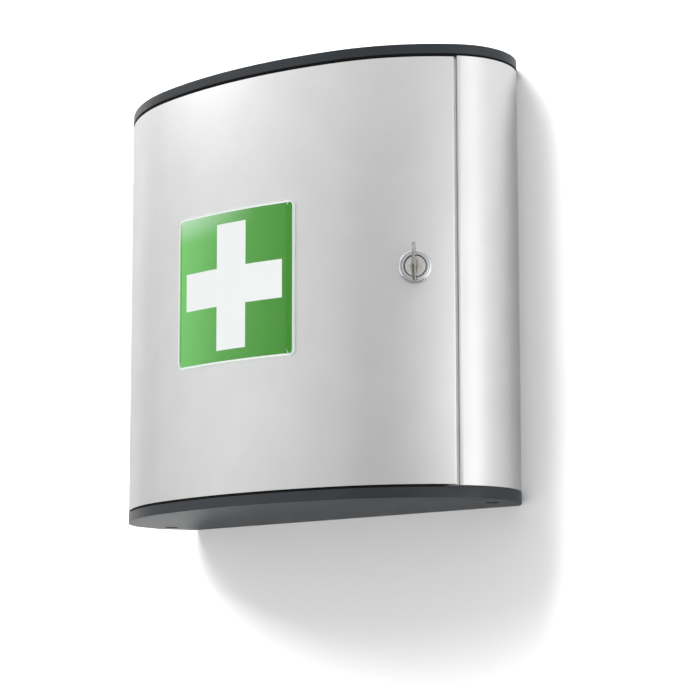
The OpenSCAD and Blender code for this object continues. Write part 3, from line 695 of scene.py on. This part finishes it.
def make_cap(name, node, up):
    """A moulded cap, built as the bottom one and mirrored for the top. The top's step goes all round,
    and the bottom's only under the door."""
    pen = Pen(name, spot(-RUNS[2], 0, -CAP_OUT))
    cap = pen.follow(-RUNS[2], RUNS[2], 0).lift(CAP_OUT - CAP_IN)
    round_edges(cap, lambda e: level(e, -CAP_OUT) and off_the_wall(e), 0.8, 4)
    if up:
        first, last, step = -RUNS[2], RUNS[2], STEP_TOP
    else:
        round_edges(cap, lambda e: level(e, -CAP_IN) and off_the_wall(e) and sharp(e), 0.2, 2)
        first, last, step = HINGE_SIDE, LOCK_SIDE - 8, STEP_BOTTOM
    groove = band("groove", first, last, -0.5, STEP_DEEP + 0.5, -CAP_IN - step, -CAP_IN + 0.1)
    cut(cap, groove)
    pen = Pen("ledge", spot(-RUNS[2], 1, -CAP_IN - 1))
    pen.follow(-RUNS[2], RUNS[2], 1)
    fuse(cap, pen.lift(1.4))
    # Rims inside the side panels, with a space for the screw channels, and a sill behind the door
    web_run = run_at(CAP_SCREW[1], 0)
    rims = [(PANEL_EDGE + 3.5, web_run - 2), (web_run + 2, RUNS[2] - 6)]
    rims += [(-b, -a) for a, b in rims]
    walls = [band("rim", a, b, 1.65, 2, -CAP_IN - 1, -CAP_IN + 6) for a, b in rims]
    walls.append(band("sill", -122.291, 115.491, 10.5, 2, -CAP_IN - 1, -CAP_IN + 5))
    for rim in walls:
        round_edges(rim, lambda e: sharp(e) and min(v.co.z for v in e.verts) > -130 * MM, 0.3, 2)
    fuse(cap, join(walls))
    for x in (-CAP_SCREW[0], CAP_SCREW[0]):
        there = move(x, CAP_SCREW[1])
        cut(cap, rod("recess", 4.5, -CAP_OUT - 1, -CAP_OUT + 2.6, there))
        cut(cap, rod("hole", 2.1, -CAP_OUT - 1, -120, there, 32))
    cut(cap, rod("pin_hole", 1.52, -CAP_IN - 4.5, -130, move(*PIVOT), 32))
    if up:
        mirrored = twin(cap, name, TO_TOP)
        bpy.data.objects.remove(cap, do_unlink=True)
        cap = mirrored
        cap.name = name
    return finished(cap, "cabinet", cap_plastic, "cap_plastic", node)


# ------------------------------------------------------------------------------------ the emblem

TILE_SQUARE, FIELD_SQUARE = (98, 4), (95, 2)            # widths and corner radii
BORDER_OUT, BORDER_IN = (97.5, 3.7), (95.1, 2.05)
CROSS = (81, 24.3)                      # length and width of its arms
TILE_BACK, TILE_FRONT = 0.39, 3.15      # heights of the tile's faces above the door
FILM_BACK, FILM_FRONT = 0.02, 0.37      # and of the films'
SLOPE_W, SLOPE_H = 4.6, 1.1             # the softened border of the tile's face
PRISM = 40                              # depth of the cutters, which reach through the door's curve
AT_EMBLEM = move(EMBLEM[0], -90, EMBLEM[1]) @ FORWARD


def square_prism(width, corner):
    """A rounded square as seen from the front, to cut sheets with."""
    half = width / 2 - corner
    pen = Pen("prism", (half + corner, -half, 0))
    for k, (x, y) in enumerate([(1, 1), (-1, 1), (-1, -1), (1, -1)]):
        pen.go((x * (half + (corner if k % 2 == 0 else 0)), y * (half + (corner if k % 2 else 0)), 0))
        pen.spin((x * half, y * half, 0), 90, 9)
    return place(pen.lift(PRISM), AT_EMBLEM)


def cross_prism(length, width):
    """A cross as seen from the front, to cut sheets with."""
    a, b = length / 2, width / 2
    points = [(b, b), (a, b), (a, -b), (b, -b), (b, -a), (-b, -a), (-b, -b), (-a, -b), (-a, b), (-b, b),
              (-b, a), (b, a)]
    pen = Pen("prism", (b, a, 0))
    for x, y in points:
        pen.go((x, y, 0))
    return place(pen.lift(PRISM), AT_EMBLEM)


def from_front_centre(vertex):
    """Distance of a vertex from the centre of the front curve, in millimetres."""
    return (vertex.co.xy / MM - CENTRES[0].xy).length


def soften_tile(tile):
    """Slopes a border of the tile's face and polishes its edges."""
    front = RADII[0] + TILE_FRONT

    def on_face(vertex):
        return abs(from_front_centre(vertex) - front) < 0.05

    edit(tile)
    choose("FACE", lambda f: f.normal.y < -0.9 and all(on_face(v) for v in f.verts))
    bpy.ops.mesh.inset(thickness=SLOPE_W * MM, depth=0, use_even_offset=True, use_boundary=True)
    choose("VERT", lambda v: on_face(v)
           and any(from_front_centre(e.other_vert(v)) < front - 1 for e in v.link_edges))
    bpy.ops.transform.translate(value=(0, SLOPE_H * MM, 0))
    rest()
    round_edges(tile, lambda e: sharp(e, 50), 0.35, 3)


def sheet(name, low=FILM_BACK, high=FILM_FRONT):
    """An uncut sheet on the middle of the door, between two heights above it."""
    return band(name, -62, 62, -high, high - low, -60, 60)


def make_emblem():
    """The green field with the white cross let into it and a white border round it, under the tile."""
    tile = sheet("clear_tile", TILE_BACK, TILE_FRONT)
    keep_within(tile, square_prism(*TILE_SQUARE))
    soften_tile(tile)
    finished(tile, "door", acrylic, "clear_acrylic", "emblem_tile", smooth=8)
    field = sheet("green_field")
    keep_within(field, square_prism(*FIELD_SQUARE))
    cut(field, cross_prism(*CROSS))
    finished(field, "door", green_film, "green_film", "emblem_field")
    cross = sheet("white_cross")
    keep_within(cross, cross_prism(*CROSS))
    finished(cross, "door", white_film, "white_film", "emblem_cross")
    border = sheet("white_border")
    keep_within(border, square_prism(*BORDER_OUT))
    cut(border, square_prism(*BORDER_IN))
    finished(border, "door", white_film, "white_film")


# -------------------------------------------------------------------------------------- the lock

LOCK = at_outline(LOCK_RUN, 0, LOCK_Z)
PLUG_FACE = 2.0                         # heights above the door's face
CAM_FRONT, CAM_BACK = -16.15, -18.25
KEYWAY_X, KEYWAY_Y = 1, 3.85            # half its width and height


def cross_slot(obj, low, high, length=4.0, width=0.9):
    """Cuts a cross into a screw's head, between two heights."""
    for turned_by in (0, math.pi / 2):
        cutter = block("slot", (-length / 2, -width / 2, low), (length / 2, width / 2, high),
                       Matrix.Rotation(turned_by, 4, "Z"))
        cut(obj, cutter)


def make_lock():
    """The lock's body, plug, nut, cam and cam screw, from profiles of (radius, height above the door)."""
    quarter = [a * math.pi / 20 for a in range(11)]
    shoulder = [(8.7 + 1.8 * math.cos(t), 0.7 + 1.8 * math.sin(t)) for t in quarter]
    housing = turned("lock_body", [(5.55, -16), (7.6, -16), (8, -15.6), (8, 0.05), (10.3, 0.05),
                                   (10.5, 0.25), *shoulder, (8.62, 2.25), (8.5, 2.25), (8.42, 2.5),
                                   (8.2, 2.6), (7.5, 2.6), (7.15, 2.5), (6.9, 2.25), (6.78, 1.9),
                                   (6.75, 1.6), (6.75, -0.65), (5.55, -0.65)], LOCK)
    finished(housing, "door", chrome, "chrome_plate", "lock_housing")

    plug = turned("plug", [(0, CAM_FRONT), (5.3, CAM_FRONT), (5.5, CAM_FRONT + 0.2), (5.5, -0.6),
                           (6.5, -0.6), (6.5, 1.75), (6.25, PLUG_FACE), (5.2, PLUG_FACE), (5.1, 1.9),
                           (5.0, PLUG_FACE), (0, PLUG_FACE)])
    fuse(plug, block("square", (-3.5, -3.5, CAM_BACK), (3.5, 3.5, CAM_FRONT + 1)))
    keyway = block("keyway", (-KEYWAY_X, -KEYWAY_Y, -14.75), (KEYWAY_X, KEYWAY_Y, 3))
    cut(plug, keyway)
    cut(plug, rod("tapping", 1.6, CAM_BACK - 1, CAM_BACK + 2.65, sides=32))

    def at_keyway(edge):
        return sharp(edge) and all(
            abs(v.co.z - PLUG_FACE * MM) < 2e-5 and abs(v.co.x) < (KEYWAY_X + 0.2) * MM
            and abs(v.co.y) < (KEYWAY_Y + 0.25) * MM for v in edge.verts)

    round_edges(plug, at_keyway, 0.2, 2)
    place(plug, LOCK)
    finished(plug, "lock", face_plate, "chrome_plate", "lock_plug")

    nut = rod("nut", 20 / 2 / math.cos(math.pi / 6), -5.1, -2.1, Matrix.Rotation(math.pi / 6, 4, "Z"), 6)
    corners_off = [(0, -5.1), (10.1, -5.1), (11.7, -4.5), (11.7, -2.7), (10.1, -2.1), (0, -2.1)]
    keep_within(nut, turned("cone", corners_off))
    thread = [(0, -6), (8.5, -6), (8.02, -4.7), (8.02, -2.5), (8.5, -1.2), (0, -1.2)]
    cut(nut, turned("threaded", thread))
    place(nut, LOCK)
    finished(nut, "door", zinc, "zinc_steel", "lock_nut")

    cam = copied("lock_cam", "cam")
    round_edges(cam, lambda e: sharp(e, 15) and len(e.link_faces) == 2, 0.25, 2)
    finished(cam, "lock", zinc, "zinc_steel", "lock_cam")

    top = CAM_BACK - 0.02
    screw = turned("cam_bolt", [(0, top - 2), (3.2, top - 2), (4.1, top - 1.5), (4.4, top - 0.9),
                                (4.4, top), (1.58, top), (1.58, top + 2.3), (1.4, top + 2.5),
                                (0, top + 2.5)])
    cross_slot(screw, top - 3, top - 0.7)
    place(screw, LOCK)
    finished(screw, "lock", zinc, "zinc_steel", "cam_screw")


def make_key():
    """A flat key, cut from sheet: drawn with its length along X and its cuts upwards."""
    tip, half, thick = -14.6, 3.7, 1.7  # end of the blade, half its width, and the sheet
    bow, bow_r = 16.3, 11.7             # middle and radius of the bow
    join_x = bow - math.sqrt(bow_r ** 2 - (half + 0.9) ** 2)
    pen = Pen("key_blank", (tip, -half + 1.5, 0))
    pen.go((tip + 1.5, -half, 0)).go((PLUG_FACE + 0.9, -half, 0))
    pen.go((join_x - 0.5, -half - 0.15, 0)).go((join_x, -half - 0.9, 0))
    angle = math.degrees(math.asin((half + 0.9) / bow_r))
    pen.spin((bow, 0, 0), 360 - 2 * angle, 5)
    pen.go((join_x - 0.5, half + 0.15, 0)).go((PLUG_FACE + 0.9, half, 0))
    for i in (4, 3, 2, 1):
        notch = tip + i * 3
        deep = half - 1.1 - 0.3 * (i % 2)
        for x, y in [(1.2, half), (0.15, deep), (-0.15, deep), (-1.2, half)]:
            pen.go((notch + x, y, 0))
    pen.go((tip + 1.5, half, 0)).go((tip, half - 1.5, 0)).go((tip, -half + 1.5, 0))
    key = pen.lift(thick)
    for z in (-0.25, thick + 0.25):
        groove = block("groove", (tip - 1, -0.9, z - 0.7), (PLUG_FACE + 1.5, 0.7, z + 0.7))
        cut(key, groove)
        cut(key, rod("well", bow_r - 2.4, z - 0.45, z + 0.45, move(bow, 0)))
    cut(key, rod("ring_hole", 3.28, -2, 4, move(bow + bow_r / 2, 0), 40))
    round_edges(key, lambda e: sharp(e, 50) and (level(e, 0) or level(e, thick)), 0.28, 3)
    place(key, LOCK @ Matrix.Rotation(-math.pi / 2, 4, "Y") @ Matrix.Translation(UP * -thick / 2 * MM))
    finished(key, "key", nickel, "nickel_key", "key")


# ---------------------------------------------------------------------------- the door's fittings

def make_rails():
    """The rails inside the door with their bushes, and the pins, each made below and mirrored above."""
    z = -131.7
    rail = band("rail_bottom", -142.291, 135.491, 1.55, 6.4, z, z + 10)
    round_edges(rail, sharp, 0.35, 2)
    cut(rail, band("gutter", -134, 131, 3.4, 2.6, z - 1, z + 3))
    pivot = move(*PIVOT)
    fuse(rail, rod("knuckle", 3.45, z, z + 10, pivot))
    cut(rail, rod("bush_seat", 2.33, z - 1, z + 11, pivot))
    top = twin(rail, "rail_top", TO_TOP)
    finished(rail, "door", rail_plastic, "rail_plastic", "door_rail_bottom")
    finished(top, "door", rail_plastic, "rail_plastic", "door_rail_top")

    z = -132.5
    bush = turned("bush_bottom", [(1.75, z), (3.1, z), (3.3, z + 0.2), (3.3, z + 0.8), (2.31, z + 0.8),
                                  (2.31, z + 9.5), (2.1, z + 9.8), (1.75, z + 9.8), (1.55, z + 9.6),
                                  (1.55, z + 0.2)], pivot, 48)
    top = twin(bush, "bush_top", TO_TOP)
    finished(bush, "door", acetal, "acetal", "hinge_bush_bottom")
    finished(top, "door", acetal, "acetal", "hinge_bush_top")
    z = -137.48
    pin = turned("pin_bottom", [(0, z), (1.2, z), (1.5, z + 0.3), (1.5, z + 14.2), (1.35, z + 14.6),
                                (1.0, z + 14.8), (0, z + 14.8)], pivot, 48)
    top = twin(pin, "pin_top", TO_TOP)
    finished(pin, "cabinet", zinc, "zinc_steel", "hinge_pin_bottom")
    finished(top, "cabinet", zinc, "zinc_steel", "hinge_pin_top")


def make_strike():
    """The strike plate with its rivets, and the two rubber pads that the door closes on."""
    strike = copied("strike_plate", "strike")
    round_edges(strike, lambda e: sharp(e, 50), 0.2, 2)
    finished(strike, "cabinet", zinc, "zinc_steel", "strike_plate")
    rivets = copied("strike_rivets", "strike_rivet_pair")
    finished(rivets, "cabinet", zinc, "zinc_steel", "strike_rivets", smooth=50)
    pad = turned("pad", [(0, 0), (2.2, 0), (2.2, 0.35), (2.05, 0.58), (1.6, 0.72), (0.8, 0.75),
                         (0, 0.75)])
    pads = [twin(pad, "pad_%d" % k, at_outline(PANEL_EDGE - REBATE_RUN / 2, 3.68, z))
            for k, z in enumerate((-100, 100))]
    bpy.data.objects.remove(pad, do_unlink=True)
    pads = join(pads)
    pads.name = "pads"
    finished(pads, "cabinet", rubber, "rubber_pad", "door_bumpers")


# ---------------------------------------------------------------------------------- the inside

WALL_SCREW, WALL_HOLE = 100, 2.6        # X and Z of the wall screws, and their holes' radius
SHELF_Z, SHELF_HALF, SHELF_T, SHELF_INSET = 45, 107, 1.2, 14
SHELF_BACK = -1.52                      # Y of the shelves' back faces
SHELF_LIP, SHELF_EDGE = 10, 14          # heights of the folded front and back
SHELF_SCREWS = [(x, z) for x in (-80, 80) for z in (-SHELF_Z + 9, SHELF_Z + 9)]


def make_back():
    """The enamelled sheet, drilled for the wall, the rivets and the shelves."""
    panel = block("back_sheet", (-BACK_HALF, -1.5, -PANEL_HALF), (BACK_HALF, 0, PANEL_HALF))
    round_edges(panel, sharp, 0.2, 2)
    holes = [(x, z, WALL_HOLE) for x in (-WALL_SCREW, WALL_SCREW) for z in (-WALL_SCREW, WALL_SCREW)]
    holes += [(x, z, RIVET_HOLE) for x in (-RIVET_X, RIVET_X) for z in RIVET_ROWS]
    holes += [(x, z, RIVET_HOLE) for x, z in SHELF_SCREWS]
    drills = [rod("drill", r, -3, 3, move(x, -0.75, z) @ FORWARD, 40) for x, z, r in holes]
    cut(panel, join(drills))
    finished(panel, "cabinet", white_enamel, "white_enamel", "back_panel")


def repeat(first, name, places):
    """Copies a piece to several places as one object, and removes the pattern."""
    copies = [twin(first, name, matrix) for matrix in places]
    bpy.data.objects.remove(first, do_unlink=True)
    whole = join(copies)
    whole.name = name
    return whole


def make_fasteners():
    """Rivets, shelf screws and cap screws, from profiles of (radius, height)."""
    # Blind rivets, whose heads keep the dimple of the drawn mandrel
    rivet = turned("rivet", [(0, 0.15), (1.1, 0.15), (1.6, 0.4), (1.6, 3.02), (3, 3.02), (3, 3.2),
                             (2.75, 3.5), (2.2, 3.78), (1.5, 3.95), (1.0, 4.0), (0.85, 3.9), (0.8, 3.45),
                             (0, 3.4)], sides=40)
    whole = repeat(rivet, "rivets", [move(x, 0, z) @ FORWARD
                                     for x in (-RIVET_X, RIVET_X) for z in RIVET_ROWS])
    finished(whole, "cabinet", zinc, "zinc_steel", "back_rivets", smooth=40)
    screw = turned("shelf_screw", [(0, 0.15), (1.2, 0.15), (1.6, 0.5), (1.6, 2.74), (3, 2.74), (3, 3.0),
                                   (2.8, 3.35), (2.3, 3.6), (1.5, 3.72), (0, 3.72)], sides=40)
    cross_slot(screw, 3.0, 5.0, 3.2, 0.7)
    whole = repeat(screw, "shelf_screw_set", [move(x, 0, z) @ FORWARD for x, z in SHELF_SCREWS])
    finished(whole, "cabinet", zinc, "zinc_steel", "shelf_screws", smooth=40)
    thread = [(1.7 if k % 2 else 1.38, 1.5 + 0.6 * k) for k in range(27)]
    screw = turned("cap_screw", [(0, -2.12), (2.4, -2.12), (3.0, -1.95), (3.4, -1.5), (3.6, -0.9),
                                 (3.6, -0.02), (1.7, -0.02), (1.7, 1.2), *thread, (1.2, 17.6), (0, 18)],
                   sides=48)
    cross_slot(screw, -3.12, -0.82)
    below = [move(x, CAP_SCREW[1], -137.4) for x in (-CAP_SCREW[0], CAP_SCREW[0])]
    bottom = repeat(screw, "screws_bottom", below)
    top = twin(bottom, "screws_top", TO_TOP)
    finished(bottom, "cabinet", zinc, "zinc_steel", "cap_screws_bottom")
    finished(top, "cabinet", zinc, "zinc_steel", "cap_screws_top")


def make_shelves():
    """Folded sheets: a plate with a front lip and a back edge, with the bends rounded."""
    z = -SHELF_Z
    lip_turn = math.degrees(math.asin((SHELF_HALF - CENTRES[1].x) / (RADII[1] - SHELF_INSET)))
    lip_end = RUNS[0] + math.radians(lip_turn - TURNS[0]) * RADII[1]
    pen = Pen("tray_lower", (-SHELF_HALF, SHELF_BACK, z))
    pen.follow(-lip_end, lip_end, SHELF_INSET)
    pen.go((SHELF_HALF, SHELF_BACK, z)).go((-SHELF_HALF, SHELF_BACK, z))
    shelf = pen.lift(SHELF_T)
    lip = band("lip", -lip_end + SHELF_T, lip_end - SHELF_T, SHELF_INSET, SHELF_T, z, z + SHELF_LIP)
    round_edges(lip, lambda e: sharp(e) and level(e, z + SHELF_LIP), 0.45, 3)
    fuse(shelf, lip)
    back = block("back_edge", (-SHELF_HALF, SHELF_BACK - SHELF_T, z),
                 (SHELF_HALF, SHELF_BACK, z + SHELF_EDGE))
    round_edges(back, lambda e: sharp(e) and level(e, z + SHELF_EDGE), 0.45, 3)
    fuse(shelf, back)
    drills = [rod("drill", RIVET_HOLE, -3, 3, move(x, -2, z + 9) @ FORWARD, 32) for x in (-80, 80)]
    cut(shelf, join(drills))
    round_edges(shelf, lambda e: sharp(e, 60) and level(e, z), 0.9, 4)
    upper = twin(shelf, "tray_upper", Matrix.Translation(UP * 2 * SHELF_Z * MM))
    finished(shelf, "cabinet", white_enamel, "white_enamel", "shelf_lower")
    finished(upper, "cabinet", white_enamel, "white_enamel", "shelf_upper")


make_door()
make_side(1, "side_right")
make_side(-1, "side_left")
make_cap("cap_bottom", "bottom_cap", False)
make_cap("cap_top", "top_cap", True)
make_shade_strips()
make_emblem()
make_lock()
make_key()
make_rails()
make_strike()
make_back()
make_fasteners()
make_shelves()


# ------------------------------------------------------------------------------------ the studio

def stage_material(name, colour, reflected):
    """A matt surface that keeps the shadows that fall on it, and isn't there from behind. It has a
    second, greyer tone where it is reflected, because the wash that whitens it lights nothing else."""
    material, tree = new_material(name)
    matt = add(tree, "ShaderNodeBsdfDiffuse", values={"Color": linear(colour)})
    grey = add(tree, "ShaderNodeBsdfDiffuse", values={"Color": linear(reflected)})
    ray = add(tree, "ShaderNodeLightPath")
    both = add(tree, "ShaderNodeMixShader", {"Fac": (ray, "Is Glossy Ray"), 1: (matt, 0), 2: (grey, 0)})
    gone = add(tree, "ShaderNodeBsdfTransparent")
    side = add(tree, "ShaderNodeNewGeometry")
    mix = add(tree, "ShaderNodeMixShader", {"Fac": (side, "Backfacing"), 1: (both, 0), 2: (gone, 0)})
    add(tree, "ShaderNodeOutputMaterial", {"Surface": (mix, "Shader")})
    return material


def stage_plane(name, surface, **where):
    """A plane of the stage, many times as large as the cabinet."""
    rest()
    bpy.ops.mesh.primitive_plane_add(**where)
    plane = bpy.context.object
    plane.name = name
    plane.data.materials.append(surface)
    return plane


def direction(azimuth, elevation):
    """Unit vector at an azimuth in degrees from -Y towards +X, and an elevation above the horizon."""
    a, e = math.radians(azimuth), math.radians(elevation)
    return Vector((math.sin(a) * math.cos(e), -math.cos(a) * math.cos(e), math.sin(e)))


def softbox(name, azimuth, elevation, distance, width, height, power):
    """A soft lamp that looks at the cabinet from that direction."""
    toward_lamp = direction(azimuth, elevation)
    rest()
    bpy.ops.object.light_add(type="AREA", location=toward_lamp * distance)
    lamp = bpy.context.object
    lamp.name = name
    lamp.data.shape = "RECTANGLE"
    lamp.data.size, lamp.data.size_y = width, height
    lamp.data.energy = power
    lamp.rotation_euler = toward_lamp.to_track_quat("Z", "Y").to_euler()
    return lamp


# The wall stands just clear of the back. It lights and shades nothing, so that the glows reach round
wall = stage_plane("wall", stage_material("painted_plaster", "#EDEDED", "#A4A4A4"), size=6,
                   location=(0, 0.0006, 0), rotation=(math.pi / 2, 0, 0))
wall.visible_diffuse = False
wall.visible_shadow = False
floor = stage_plane("floor", stage_material("pale_floor", "#F2F2F2", "#747474"), size=8,
                    location=(0, 0, -2.3))

# Soft light from all round: an even level, and broad glows (azimuth, elevation, narrowness, strength).
# The camera and clear pieces see plain white behind the cabinet, and metal mirrors the glows, as it
# does a studio's soft panels
EVEN = 0.45
GLOWS = [(-42, -8, 6, 0.6), (75, -12, 5, 1.15), (110, 0, 6, 0.6), (0, 90, 2, 0.55), (-60, 45, 5, 0.24)]

world = bpy.data.worlds.new("studio")
bpy.context.scene.world = world
world.use_nodes = True
tree = world.node_tree
tree.nodes.clear()
toward = add(tree, "ShaderNodeTexCoord")
level_now = add(tree, "ShaderNodeValue")
level_now.outputs[0].default_value = EVEN
for azimuth, elevation, narrow, strength in GLOWS:
    facing = add(tree, "ShaderNodeVectorMath", {0: (toward, "Generated")},
                 {1: direction(azimuth, elevation)}, operation="DOT_PRODUCT")
    near = add(tree, "ShaderNodeMath", {0: (facing, "Value")}, {1: 0.0}, operation="MAXIMUM")
    shaped = add(tree, "ShaderNodeMath", {0: (near, 0)}, {1: narrow}, operation="POWER")
    level_now = add(tree, "ShaderNodeMath", {0: (shaped, 0), 2: (level_now, 0)}, {1: strength},
                    operation="MULTIPLY_ADD")
background = add(tree, "ShaderNodeBackground", {"Strength": (level_now, 0)}, {"Color": linear("#FFFFFF")})
white = add(tree, "ShaderNodeBackground", values={"Color": linear("#FFFFFF"), "Strength": 1.0})
ray = add(tree, "ShaderNodeLightPath")
seen = add(tree, "ShaderNodeMath", {0: (ray, "Is Camera Ray"), 1: (ray, "Is Transmission Ray")},
           operation="MAXIMUM")
mix = add(tree, "ShaderNodeMixShader", {"Fac": (seen, 0), 1: (background, 0), 2: (white, 0)})
add(tree, "ShaderNodeOutputWorld", {"Surface": (mix, "Shader")})

softbox("left_softbox", -62, 42, 1.6, 0.45, 0.55, 1.8)

# A lamp that washes the wall and floor alone, so that the cabinet's shadow shows on them
wash = softbox("wall_wash", -38, 50, 3.0, 2.4, 2.4, 300)
stage_only = bpy.data.collections.new("stage_only")
for surface in (wall, floor):
    stage_only.objects.link(surface)
wash.light_linking.receiver_collection = stage_only
wash.visible_glossy = False

# The camera's place, turn and lens were fitted to the cabinet's edges in the photograph. Its shift is
# small, so that the cabinet stays in the frame in other views
CAMERA_AT = (0.9651, -1.1932, -0.2815)
TILT_UP, TURN_LEFT = 8.525, 39.483      # degrees
rest()
bpy.ops.object.camera_add(location=CAMERA_AT,
                          rotation=(math.radians(90 + TILT_UP), 0, math.radians(TURN_LEFT)))
camera = bpy.context.object
camera.data.lens = 120.76
camera.data.sensor_width = 36
camera.data.shift_x = 0.0313
camera.data.shift_y = 0.05
camera.data.clip_start = 0.01
camera.data.clip_end = 50
bpy.context.scene.camera = camera

bpy.context.scene.view_settings.view_transform = "Standard"
